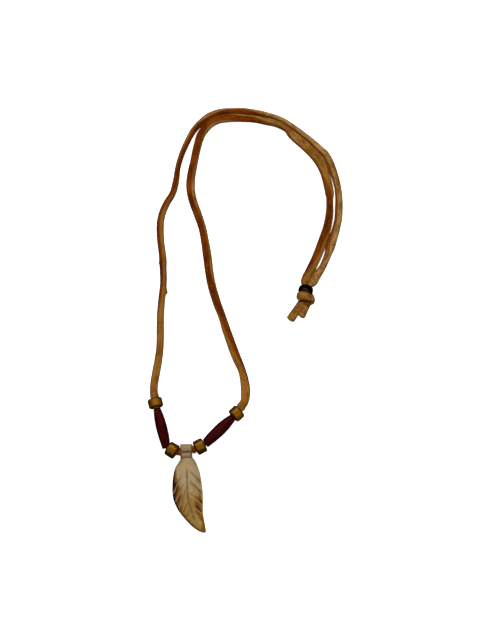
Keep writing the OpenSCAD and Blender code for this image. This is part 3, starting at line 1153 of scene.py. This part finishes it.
    def in_ring(self, ends: tuple, side: int) -> list[list[float]]:
        """Two rows that take a strand through the ring bead, to the left of its middle where side is 1."""
        width, height, turn, rust = self.squeezed
        return [[*self.ring.point(end, side * self.gap), width, height, -side * turn, rust] for end in ends]

    def route(self) -> Route:
        """The lace's whole route.

        Returns:
            A route of x, y, z, width, height, turn and rust.
        """
        rows = self.in_ring(self.ring_run, 1) + self.lying(self.outer)
        straight = {0}
        for stop in self.stops:
            rows += self.lying(stop.before)
            straight.add(len(rows))
            for end in (-stop.hole.length / 2, stop.hole.length / 2):
                rows.append([*stop.hole.point(end), stop.size, stop.size, stop.turn, stop.rust])
        rows += self.lying(self.inner)
        straight.add(len(rows))
        rows += self.in_ring(self.ring_run[::-1], -1)
        return Route(np.array(rows, dtype=float), straight)

    def section(self, width: float, height: float, turn: float) -> Array:
        """Outline of the lace.

        Args:
            width: Width across the table.
            height: Height above the table.
            turn: Turn of the rust side, in degrees.

        Returns:
            Rows of distance to the right and up.
        """
        angle, t = around(self.sides), math.radians(turn)
        across, up = np.sin(angle), np.cos(angle)
        radius = (np.abs(across) ** self.fullness + np.abs(up) ** self.fullness) ** (-1 / self.fullness)
        a = radius * (across * math.cos(t) + up * math.sin(t))
        b = radius * (up * math.cos(t) - across * math.sin(t))
        a *= width / 2 / np.abs(a).max()
        b *= height / 2 / np.abs(b).max()
        return np.stack([a, b], axis=1)

    def shape(self, skin: Skin) -> None:
        """Lays the lace along its route, uneven where no bead holds it.

        Args:
            skin: The skin to fill.
        """
        samples = self.route().samples()
        centre = samples[:, :3]
        run = run_along(centre)
        way = unit(np.gradient(centre, axis=0))
        right = unit(np.cross(way, (0, 0, 1)))
        up = np.cross(right, way)
        outline = np.array([self.section(*row) for row in samples[:, 3:6]])
        angle = around(self.sides)
        lay = np.empty((len(run), self.sides, 3))
        lay[..., 0], lay[..., 1], lay[..., 2] = 2 * np.sin(angle), 2 * np.cos(angle), run[:, None]
        free = smooth(2.5, 3.6, samples[:, 3])[:, None]
        uneven = ripple(lay * np.array(Drawn.NAP.value), 0.35, 3.0) * self.uneven[0]
        uneven += ripple(lay, 1.3, 9.0) * self.uneven[1]
        outline *= (1 + uneven * free)[..., None]
        rings = centre[:, None] + outline[..., :1] * right[:, None] + outline[..., 1:] * up[:, None]
        rings[..., 2] = np.maximum(rings[..., 2], TABLE_GAP)
        for x, y, reach, height in self.tufts:
            away = np.hypot(rings[..., 0] - x, rings[..., 1] - y)
            rings += (height * hill(away, reach) * np.sign(outline[..., 0]))[..., None] * right[:, None]
        off = np.degrees(np.abs((angle + math.pi) % (2 * math.pi) - math.pi))
        rust = smooth(70, 20, off) * samples[:, 6:7]
        fair = np.broadcast_to(column(self.fair, run, 1)[:, None], rust.shape)
        skin.rings(rings, lay=lay, rust=rust, fair=fair)
        self.length = float(run[-1])
        self.path = (centre[::6] * MM).tolist() + [(centre[-1] * MM).tolist()]

    def declare(self, piece: Piece, knotted: list[Piece]) -> None:
        """Logs the lace's length.

        Args:
            piece: The lace; not used.
            knotted: The pieces at its end; not used.
        """
        log.info("lace length: %.1f mm", self.length)


@dataclass(frozen=True)
class Fold:
    """One bend or tail of the lace in the knot.

    Attributes:
        flat: Way that its width lies.
        spots: Points that it runs through, with its width and thickness at each.
        fullness: How round its section is; 1 is an oval.
        easing: How far from its ends it is rounded off.
        sides: Points round it.
    """

    flat: tuple
    spots: tuple
    fullness: float = 0.78
    easing: float = 1.3
    sides: int = 32

    def rings(self) -> Array:
        """Rings of points round the fold, rounded off at both ends.

        Returns:
            Array of rings, points and coordinates.
        """
        rows = Route(np.array(self.spots, dtype=float), step=0.35).samples()
        centre, flat = rows[:, :3], np.array(self.flat)
        way = unit(np.gradient(centre, axis=0))
        side = unit(flat - (way @ flat)[:, None] * way)
        up = np.cross(side, way)
        run = run_along(centre)
        ease = np.clip(np.minimum(run, run[-1] - run) / self.easing, 0, 1)
        size = np.sqrt(np.clip(1 - (1 - ease) ** 2, 0.02, 1))[:, None]
        angle = around(self.sides)
        across, rise = (np.sign(t) * np.abs(t) ** self.fullness for t in (np.cos(angle), np.sin(angle)))
        a = rows[:, 3:4] / 2 * size * across
        b = rows[:, 4:5] / 2 * size * rise
        return centre[:, None] + a[..., None] * side[:, None] + b[..., None] * up[:, None]


@dataclass
class Knot(Part):
    """Both ends of the lace, tied together below the ring bead, with two cut tails.

    Attributes:
        ring: The ring bead above it.
        voxel: How finely the folds are fused.
        neck: Where the strands below the ring bead meet the knot, with their width and thickness.
        nap: Height of the broad and of the fine bumps of its surface.
        folds: The bends and tails.
        painted_crease_shade: Painted shade along the creases between the folds: x and y of both ends, reach
            and depth.
    """

    slot: ClassVar[Slot] = Slot.SUEDE
    crease: ClassVar[float] = NO_CREASE

    ring: RingBead
    voxel: float = 0.2
    neck: tuple = (68.6, 108.3, 4.9, 6.8, 6.3)
    nap: tuple = (0.09, 0.035)
    folds: tuple = (
        Fold(
            (-0.02, -0.99, 0.1),
            (
                (64.5, 108.1, 2, 4, 3), (65.9, 107.8, 4.4, 6.2, 3.4), (68.4, 107.5, 6.1, 7, 3.6),
                (71, 107.1, 5.2, 6.6, 3.5), (72.6, 106.6, 3.2, 5.6, 3.4),
            ),
        ),
        Fold(
            (0, 0, 1),
            (
                (70.6, 108, 4.2, 3.6, 3.2), (73, 107.8, 3.8, 4, 3.4), (73.8, 105.6, 2.9, 3.8, 3.4),
                (73.7, 104.4, 2.6, 3.6, 3.2), (71.4, 103.2, 2.5, 3.4, 3.2),
            ),
        ),
        Fold(
            (0, 0.6, 1),
            (
                (65.8, 104.4, 2.6, 3.4, 3.2), (68.6, 103.4, 3.3, 3.6, 3.3), (71.8, 103.2, 2.7, 3.6, 3),
            ),
        ),
        Fold(
            (0.825, -0.566, 0),
            (
                (67.9, 105, 3.2, 5, 3.6), (66.2, 102.4, 2.7, 5.3, 3.4), (62.8, 97.6, 1.8, 5.5, 3.2),
                (59.8, 93.1, 1.6, 5.7, 3.1), (59.2, 92.2, 1.55, 5.4, 3),
            ),
        ),
        Fold(
            (0.94, -0.34, 0),
            (
                (71, 104, 3, 4.6, 3.4), (69.8, 101.6, 2.5, 4.8, 3.4), (68.1, 97.6, 1.75, 4.6, 3.2),
                (66.8, 94.7, 1.6, 4.5, 3.1), (66.5, 94.2, 1.55, 4.4, 3),
            ),
        ),
    )
    painted_crease_shade: tuple = (
        (65, 103.9, 68, 104.3, 0.9, 0.75), (68, 104.3, 71.5, 103.6, 0.8, 0.75),
        (71.5, 103.6, 74.8, 103.9, 1.2, 0.75), (70.6, 101.7, 71.6, 101.4, 1.2, 0.85),
        (68.8, 103, 70.4, 102.2, 0.6, 0.6), (72.9, 109.3, 72.6, 107, 0.7, 0.6),
        (64.6, 96, 67.8, 100.6, 0.4, 0.4), (64.6, 102.6, 57.4, 94, 0.45, 0.4),
    )

    def shape(self, skin: Skin) -> None:
        """Lays the folds and the neck that joins them to the ring bead.

        Args:
            skin: The skin to fill.
        """
        start = (*self.ring.point(1.3), 6.1, 6.2)
        for fold in (*self.folds, Fold(tuple(self.ring.side), (start, self.neck))):
            skin.rings(fold.rings())

    def work(self, obj: Piece) -> None:
        """Fuses the folds, roughens the suede and keeps the marks that its finish reads, with painted shade
        along its creases.

        Args:
            obj: The knot.
        """
        fuse = obj.modifiers.new("fuse", "REMESH")
        fuse.mode, fuse.voxel_size = "VOXEL", self.voxel * MM
        ease = obj.modifiers.new("ease", "SMOOTH")
        ease.factor, ease.iterations = 0.5, 4
        apply_modifiers(obj)
        mesh = obj.data
        points = read_points(mesh) / MM
        lift = ripple(points, 0.9, 4.0) * self.nap[0] + ripple(points, 2.4, 7.0) * self.nap[1]
        moved = points + read_points(mesh, "normal") * lift[:, None]
        moved[:, 2] = np.maximum(moved[:, 2], TABLE_GAP)
        mesh.vertices.foreach_set("co", (moved * MM).ravel())
        fair = 0.45 + 0.9 * ripple(points, 0.75, 11.0)
        rust = 0.20 + 0.45 * ripple(points, 1.1, 15.0)
        # Painted shade: darker suede along the creases between the folds.
        for *ends, reach, depth in self.painted_crease_shade:
            away, _ = stroke(points[:, 0], points[:, 1], ends)
            rust = np.maximum(rust, depth * smooth(1.4, 0.3, away / reach))
        for key, values in (("lay", points), ("rust", rust[:, None]), ("fair", fair[:, None])):
            keep_mark(mesh, key, values)
        seal(mesh, self.crease)


@dataclass
class FeatherPendant(Part):
    """The carved bone feather with its bail, one piece.

    Attributes:
        x: Middle of the bail across the table.
        y: Middle of the bail up the table.
        bail_w: Width of the bail across the lace.
        bail_r: Radius of the bail's round top.
        drop: How far the hole is below the middle of the round top.
        bore: Diameter of the hole.
        steps: Sections down the feather.
        columns: Steps across its front.
        thin: Least thickness of its edges, and of its front above the back.
        grooves: Down and depth of the two grooves round the collar.
        outline: Down from the bail's middle, left edge, right edge.
        crown: Down, height of the front's middle, height of its edge, fullness of the front.
        quill: Down and across, along the quill.
        barbs: Down and across where a cut starts and where it runs out, its half width and depth.
        burns: Down and across of both ends of a scorch beside the cuts, its reach and depth.
        left_burn: Down, reach and depth of the burn at the left edge.
        left_amber: Down, reach and depth of the lighter burn at the left edge.
        right_amber: The same at the right edge.
    """

    slot: ClassVar[Slot] = Slot.CARVED_BONE
    crease: ClassVar[float] = 50.0

    x: float = -6.0
    y: float = 9.3
    bail_w: float = 7.8
    bail_r: float = 3.15
    drop: float = 0.7
    bore: float = 3.8
    steps: int = 250
    columns: int = 84
    thin: float = 0.35
    grooves: tuple = ((2.15, 0.95), (5.6, 0.8))
    outline: tuple = (
        (-3.15, -3.7, 3.7), (-2.6, -3.85, 3.85), (1.6, -3.9, 3.9), (2.3, -3.75, 3.75), (4.8, -3.65, 3.75),
        (5.6, -3.6, 4.2), (6.4, -3.7, 5.1), (8.5, -5.1, 6.4), (10.7, -6.7, 7.3), (13, -7.4, 8.25),
        (16, -8, 8.95), (20, -8.5, 9.65), (25, -8.6, 10.35), (29, -8.3, 10.55), (32, -7.6, 10.65),
        (35, -6.3, 10.65), (38, -4.7, 10.65), (41, -2.5, 10.85), (44, 0.2, 11.35), (46.5, 2.5, 11.95),
        (49, 5.5, 12.35), (50.6, 8.1, 12.55), (51.3, 9.8, 12.5), (51.55, 10.9, 12.05),
    )
    crown: tuple = (
        (1.6, 6.3, 3.1, 9), (2.4, 5.3, 2.8, 9), (5.2, 5.2, 2, 6), (6.4, 4.3, 1.3, 3.4), (10, 4, 1.1, 2.3),
        (16, 3.7, 1.1, 2.2), (25, 3.5, 1.1, 2.2), (35, 3.2, 1.1, 2.2), (44, 2.8, 1, 2.2),
        (49, 2.3, 0.9, 2.2), (51.55, 1.5, 0.8, 2.2),
    )
    quill: tuple = (
        (10, 0.3), (18.3, 0.6), (24.5, 0.9), (31, 1.5), (35, 2.6), (39, 3.8), (43.4, 5.2),
    )
    barbs: tuple = (
        (14.4, 2.9, 20.6, 9.1, 1.6, 0.34), (20.8, 3.2, 26.9, 9.2, 1.7, 0.36),
        (27.7, 3.2, 33.9, 9.2, 0.8, 0.46), (35.2, 4.7, 39.6, 9.2, 0.8, 0.46),
        (16.6, -2.7, 21.6, -5.2, 0.95, 0.34), (21.6, -5.2, 27.3, -7.7, 0.8, 0.46),
        (22.6, -1.8, 32.4, -6.3, 0.85, 0.42), (26.6, -0.6, 35.8, -3.9, 0.9, 0.36),
        (32.6, 1.5, 39.2, -1.3, 0.85, 0.34), (35.8, 2.9, 42.8, 0.6, 0.8, 0.3),
    )
    burns: tuple = (
        (35.7, 6.6, 38.7, 9.5, 0.8, 0.7), (31.2, 8.6, 33.4, 9.8, 0.9, 0.48),
        (33.6, 6.4, 36, 8.2, 0.9, 0.45), (38.2, 5.9, 40.6, 8.4, 0.9, 0.45),
        (21.5, -6.6, 25.8, -8.2, 1.3, 0.85), (24, -5.2, 29.6, -6.9, 1.3, 0.6),
        (30.4, -4.2, 34.6, -5.8, 1.1, 0.5),
    )
    left_burn: tuple = (
        (12, 0.4, 0), (14.5, 1.2, 0.7), (18, 2.1, 1.1), (23, 2.8, 1.2), (29, 2.8, 1.2), (34, 2.2, 1.15),
        (39, 1.3, 1), (45, 1.1, 0.95), (51.5, 1, 0.7),
    )
    left_amber: tuple = (
        (10, 0.8, 0), (13, 2.2, 0.7), (18, 4, 1.05), (21, 6.4, 1.15), (25, 8.4, 1.2), (30, 8.4, 1.2),
        (34, 6.4, 1.1), (39, 4, 1), (46, 2.8, 1), (51.5, 3, 1),
    )
    right_amber: tuple = (
        (24, 1, 0), (27, 3.2, 0.35), (30, 6, 0.8), (34, 7.4, 1), (38, 6.8, 1.05), (41, 4.4, 0.9),
        (45, 2.8, 0.9), (51.5, 4.6, 1.15),
    )

    @property
    def hole(self) -> Threaded:
        """The hole across the bail."""
        return Threaded(self.x, self.y - self.drop, 0.0, self.bail_r, length=self.bail_w, bore=self.bore)

    def round_of(self, down: float) -> float:
        """Height of the bail's round above and below its middle."""
        return math.sqrt(max(0.0, self.bail_r**2 - down * down))

    def top_middle(self, down: float) -> float:
        """Height of the front along its middle, with the grooves round the collar.

        Args:
            down: Distance below the bail's middle.

        Returns:
            The height.
        """
        height = self.bail_r + self.round_of(down) if down < 0 else column(self.crown, down, 1)
        for groove, depth in self.grooves:
            height -= depth * hill(down - groove, 0.55)
        return float(height)

    def carve(self, down: Array, across: Array) -> tuple[Array, Array]:
        """Depth of the carved lines.

        Args:
            down: Distances below the bail's middle.
            across: Distances to the right of it.

        Returns:
            Depth in millimetres, and the same from 0 to 1 as a mark for the finish.
        """
        depth, mark = np.zeros_like(across), np.zeros_like(across)
        lines = [(*a, *b, 1.25, 0.22, 0.22) for a, b in zip(self.quill, self.quill[1:])]
        lines += [(*row[:5], 0.12, row[5]) for row in self.barbs]
        for *ends, wide, first, last in lines:
            away, held = stroke(down, across, ends)
            here = np.exp(-((away / wide) ** 2) * 1.6)
            depth = np.maximum(depth, here * (first + (last - first) * held))
            mark = np.maximum(mark, here * (0.65 + 0.35 * held))
        return depth, mark

    def section(self, down: float) -> Array:
        """One section of the pendant, square to its length; its back is flat below the bail.

        Args:
            down: Distance below the bail's middle.

        Returns:
            Points round the section, front first.
        """
        left, right = column(self.outline, down, 1), column(self.outline, down, 2)
        middle, half = (left + right) / 2, (right - left) / 2
        top, low = self.top_middle(down), self.bail_r - self.round_of(down) if down < 0 else 0.0
        edge = min(float(column(self.crown, down, 2)), (top + low) / 2 + 0.35 * (top - low))
        full = float(column(self.crown, down, 3))
        reach = math.pi / 2 * 0.96
        u = np.sin(np.linspace(-1, 1, self.columns + 1) * reach) / math.sin(reach)
        across = middle + half * u
        front = edge + (top - edge) * (1 - np.abs(u) ** full)
        depth, _ = self.carve(np.full_like(across, down), across)
        front = np.maximum(front - depth, low + self.thin)
        v = np.linspace(1, -1, 17)
        back = low + min(self.thin, (edge - low) * 0.4) * np.abs(v) ** 8
        x = np.concatenate([across, middle + half * v * 0.985])
        return np.stack([self.x + x, np.full_like(x, self.y - down), np.concatenate([front, back])], axis=1)

    def shape(self, skin: Skin) -> None:
        """Lays the sections, closer together at both ends.

        Args:
            skin: The skin to fill.
        """
        first, last = -self.bail_r + 0.01, self.outline[-1][0]
        neck, tip = -2.0, last - 0.6
        downs = first + (neck - first) * np.linspace(0, 1, 14) ** 1.7
        downs = np.append(downs, neck + (tip - neck) * np.linspace(0, 1, self.steps)[1:])
        downs = np.append(downs, tip + (last - tip) * np.linspace(0, 1, 9)[1:] ** 0.6)
        skin.rings(np.array([self.section(float(down)) for down in downs]))

    def work(self, obj: Piece) -> None:
        """Drills the hole across the bail, eased at both ends, and keeps the marks.

        Args:
            obj: The undrilled pendant.
        """
        half, radius = self.bail_w / 2, self.bore / 2
        profile = ((-half - 2, radius + 0.9), (-half - 0.1, radius + 0.3), (-half + 0.5, radius))
        profile += tuple((-a, r) for a, r in reversed(profile))
        rings, _ = self.hole.turned(np.array(profile), sides=64)
        tool = Skin("drill")
        tool.rings(np.transpose(rings, (1, 0, 2)))
        bit = tool.piece(obj.data.materials[0], 30.0)
        cut = obj.modifiers.new("drill", "BOOLEAN")
        cut.operation, cut.solver, cut.object = "DIFFERENCE", "EXACT", bit
        apply_modifiers(obj)
        bpy.data.objects.remove(bit)
        self.keep_marks(obj.data)
        seal(obj.data, self.crease)

    def keep_marks(self, mesh: Mesh) -> None:
        """Keeps the stains, burns and cuts that the finish reads.

        Args:
            mesh: The drilled pendant.
        """
        points = read_points(mesh) / MM
        down, across = self.y - points[:, 1], points[:, 0] - self.x
        left, right = column(self.outline, down, 1), column(self.outline, down, 2)
        body = smooth(9.0, 14.0, down)
        tables, inset = (self.left_burn, self.left_amber, self.right_amber), across - left
        burnt, amber, amber_right = (
            column(table, down, 2) * smooth(1.0, 0.25, inside / column(table, down, 1)) * body
            for table, inside in zip(tables, (inset, inset, right - across))
        )
        amber = np.maximum(amber, amber_right)
        amber *= np.minimum(smooth(0.6, 1.7, right - across) + smooth(40.0, 42.5, down), 1.0)
        for *ends, reach, depth in self.burns:
            away, _ = stroke(down, across, ends)
            burnt = np.maximum(burnt, depth * smooth(1.3, 0.3, away / reach))
        collar = sum(hill(down - groove, 0.65) for groove, _ in self.grooves)
        _, cut = self.carve(down, across)
        front = smooth(0.7, 1.1, points[:, 2])
        spine = column(self.quill, down, 1)
        side, tilt = np.abs(across - spine), np.where(across < spine, 0.48, 0.70)
        rise = down * tilt - side * np.sqrt(1 - tilt**2)
        marks = {
            "lay": points,
            "flow": np.stack([rise, down + side, np.sign(across - spine) * 9], axis=1),
            "burnt": burnt[:, None],
            "amber": amber[:, None],
            # The collar grooves get painted shade as well, half as strong.
            "cut": np.maximum(cut * body * front, collar * (points[:, 2] > 2.4) * 0.5)[:, None],
            "stain": (smooth(14.0, 36.0, down) * 0.9 - smooth(39.0, 44.0, down) * 0.12)[:, None],
            "blush": smooth(7.0, 4.0, down)[:, None],
        }
        for key, values in marks.items():
            keep_mark(mesh, key, values)


@dataclass
class Studio:
    """Camera, table and lights.

    Attributes:
        aim: Point on the table under the middle of the picture.
        distance: From the camera to that point.
        elevation: Angle of the view above the table, in degrees.
        lens: Focal length on a 36 mm picture height.
        clip: Nearest and farthest that the camera sees, in metres.
        table: Side of the table top, wide enough to fill a low view.
        sky: Colour of the light from all round.
        sky_power: Its strength.
    """

    aim: tuple = (27.5, 93.0, 0.0)
    distance: float = 900.0
    elevation: float = 76.0
    lens: float = 79.1
    clip: tuple = (0.01, 50.0)
    table: float = 60000.0
    sky: tuple = (0.96, 0.98, 1.0, 1.0)
    sky_power: float = 0.12

    def camera(self) -> None:
        """Sets the camera at the photograph's angle."""
        data = bpy.data.cameras.new("camera")
        data.lens, data.sensor_width, data.sensor_fit = self.lens, 36.0, "AUTO"
        data.clip_start, data.clip_end = self.clip
        obj = put("camera", data)
        rise = math.radians(self.elevation)
        self.face(obj, Vector((0.0, -math.cos(rise), math.sin(rise))) * self.distance)
        bpy.context.scene.camera = obj

    def face(self, obj: Piece, place: Vector) -> None:
        """Hangs a camera or a light at a place from the aim, turned towards it."""
        obj.location = (Vector(self.aim) + place) * MM
        obj.rotation_euler = (-place).to_track_quat("-Z", "Y").to_euler()

    def floor(self, finish: Finish) -> None:
        """Lays the plain pale table.

        Args:
            finish: Its finish.
        """
        half, (x, y, _) = self.table / 2, self.aim
        corners = [(x - half, y - half), (x + half, y - half), (x + half, y + half), (x - half, y + half)]
        mesh = bpy.data.meshes.new("table")
        mesh.from_pydata([(a * MM, b * MM, 0.0) for a, b in corners], [], [(0, 1, 2, 3)])
        mesh.materials.append(finish.material("table"))
        obj = put("table", mesh)
        obj.visible_glossy = obj.visible_diffuse = False

    def softbox(self, name: str, place: tuple, size: tuple, power: float) -> None:
        """Hangs one oblong light that faces the necklace.

        Args:
            name: Its name.
            place: Where it hangs, from the aim.
            size: Its width and depth.
            power: Its power in watts.
        """
        data = bpy.data.lights.new(name, "AREA")
        data.shape, data.energy = "RECTANGLE", power
        data.size, data.size_y = size[0] * MM, size[1] * MM
        self.face(put(name, data), Vector(place))

    def lights(self) -> None:
        """Sets the soft light and the plain view of it."""
        world = bpy.data.worlds.new("studio")
        world.use_nodes = True
        sky = world.node_tree.nodes["Background"].inputs
        sky["Color"].default_value, sky["Strength"].default_value = self.sky, self.sky_power
        bpy.context.scene.world = world
        self.softbox("key", place=(-100.0, 870.0, 1040.0), size=(2200.0, 900.0), power=29.0)
        self.softbox("fill", place=(100.0, -700.0, 1100.0), size=(1500.0, 900.0), power=8.0)
        view = bpy.context.scene.view_settings
        view.view_transform, view.look, view.exposure, view.gamma = "Standard", "None", 0.0, 1.0


def main() -> None:
    """Builds the necklace, lace first, and reports each piece."""
    studio = Studio()
    studio.camera()
    ring = RingBead(x=69.6, y=111.7, turn=-101.0, z=5.05, lean=9.0)
    feather = FeatherPendant()
    beads = {
        "outer_left": BarrelBead(
            x=-25.55, y=38.1, turn=-76, patches=((-62, 0.4, 1.9), (40, -2.4, 1.4)), painted_highlight_strength=1.1
        ),
        "inner_left": BarrelBead(
            x=-14.75, y=8.35, turn=-31, length=6.6,
            patches=((38, 1.6, 1.5),), painted_highlight_strength=0.4, painted_highlight_angle=-2, reach=17, seed=2,
        ),
        "inner_right": BarrelBead(
            x=2.55, y=10.65, turn=28, length=6.4,
            patches=((38, -1.2, 1.5),), painted_highlight_strength=0.5, painted_highlight_angle=-2, reach=17, seed=3,
        ),
        "outer_right": BarrelBead(
            x=25.3, y=31.45, turn=43, length=6.2, painted_highlight_strength=1.5, painted_highlight_angle=-44, reach=56, seed=4
        ),
    }
    pipes = {
        "left": Hairpipe(x=-21.5, y=22.65, turn=-75.6, length=24.9, slant=(0, -0.42), painted_sheen=0.25),
        "right": Hairpipe(
            x=14.6, y=21, turn=44, middle_d=7.5, end_d=(5.6, 4.3), slant=(0.15, 0), painted_sheen=0.6, seed=2
        ),
    }
    before_bail = ((-11.3, 7.1, 5.0, 3.6, 2.2, -38, 1.0), (-10.5, 7.6, 6.1, 3.7, 2.0, -38, 1.0))
    after_bail = ((-1.5, 8.8, 5.4, 3.7, 2.0, 25, 1.0), (-0.8, 8.9, 5.0, 3.7, 2.3, 20, 1.0))
    stops = (
        Stop(beads["outer_left"], size=3.5, turn=96, rust=0.4),
        Stop(pipes["left"], size=2.3, turn=20, rust=1.0),
        Stop(beads["inner_left"], size=3.3, turn=20, rust=1.0),
        Stop(feather.hole, size=3.1, turn=0, rust=1.0, before=before_bail),
        Stop(beads["inner_right"], size=3.4, turn=0, rust=1.0, before=after_bail),
        Stop(pipes["right"], size=2.3, turn=30, rust=1.0),
        Stop(beads["outer_right"], size=3.5, turn=112, rust=0.4),
    )
    lace = Lace(ring, stops)
    suede = SuedeFinish()
    strip = lace.build("suede_lace", suede, "lace")
    tied = Knot(ring).build("suede_knot", suede, "knot")
    band = ring.build("black_ring", BlackGlossFinish(), "ring_bead")
    lace.declare(strip, [band, tied])
    for side, bead in beads.items():
        bead.build("brass_bead_" + side, AntiqueBrassFinish(), "barrel_bead_" + side)
    for side, pipe in pipes.items():
        pipe.build("bone_hairpipe_" + side, DyedBoneFinish(), "hairpipe_" + side)
    feather.build("carved_feather", CarvedBoneFinish(), "feather_pendant")
    studio.floor(TableFinish())
    studio.lights()


if __name__ == "__main__":
    logging.basicConfig(level=logging.INFO, format="%(message)s")
    main()
